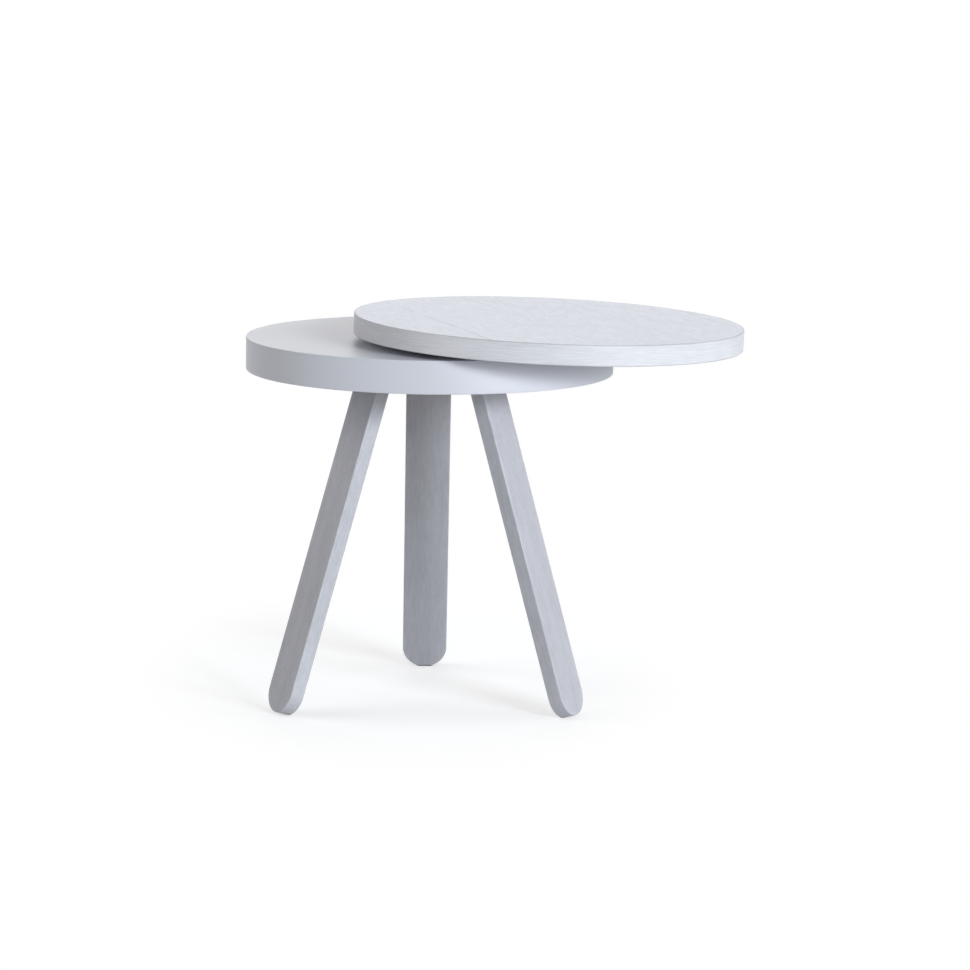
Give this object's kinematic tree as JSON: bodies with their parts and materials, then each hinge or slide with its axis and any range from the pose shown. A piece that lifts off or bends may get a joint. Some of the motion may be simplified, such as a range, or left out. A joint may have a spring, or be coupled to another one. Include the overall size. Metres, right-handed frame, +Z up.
{
  "type": "side table",
  "caption": "Low side table: round lacquered top on splayed board legs, with a pale wood round tray that swings out over its edge on a hidden off-centre pivot.",
  "frame": {"origin": "centre of the footprint that the fixed top and the swung tray cover together, on the floor", "axes": "+Z up; +X from the fixed top's centre towards the side that the tray overhangs in the pictured pose; +Y away from the picture's viewpoint, towards the back leg"},
  "size_m": [0.606, 0.5004, 0.4869],
  "materials": {
    "drum_lacquer": "smooth matt lacquer on fibreboard",
    "leg_lacquer": "matt pigmented lacquer over close-grained wood, grain faintly visible",
    "glide_rubber": "thin dark glide, matt",
    "beech": "planed, clear sealed",
    "zinc_steel": "bright zinc plate",
    "bush_steel": "turned and greased",
    "nylon": "moulded nylon, satin",
    "cap_plastic": "moulded, fine matt",
    "core_board": "sanded fibreboard",
    "pale_veneer": "open-grained veneer, pale whitened stain under matt oil",
    "pale_edge_band": "the same wood bent round the edge, grain along the edge"
  },
  "bodies": {
    "base": {"upper_board": "drum_lacquer", "lower_board": "drum_lacquer", "leg_back": "leg_lacquer", "leg_left": "leg_lacquer", "leg_right": "leg_lacquer", "glide_back": "glide_rubber", "glide_left": "glide_rubber", "glide_right": "glide_rubber", "leg_block_back": "beech", "leg_block_left": "beech", "leg_block_right": "beech", "leg_inserts": "zinc_steel", "leg_bolts": "zinc_steel", "leg_bolt_washers": "zinc_steel", "block_screws": "zinc_steel", "pivot_bush": "bush_steel", "bush_screws": "zinc_steel", "spacer_disc": "nylon", "wear_washer": "nylon", "pocket_cap": "cap_plastic"},
    "tray": {"spindle": "bush_steel", "pivot_plate": "zinc_steel", "plate_screws": "zinc_steel", "steel_washer": "zinc_steel", "disc_spring": "zinc_steel", "lock_nut": "zinc_steel", "tray_core": "core_board", "tray_edge_band": "pale_edge_band", "tray_upper_veneer": "pale_veneer", "tray_lower_veneer": "pale_veneer"}
  },
  "joints": [
    {"name": "tray_swivel", "type": "hinge", "parent": "base", "child": "tray", "pos_m": [0.01292, 0.07772, 0.45648], "axis": [0.0297, 0, 0.9996], "continuous": true}
  ]
}
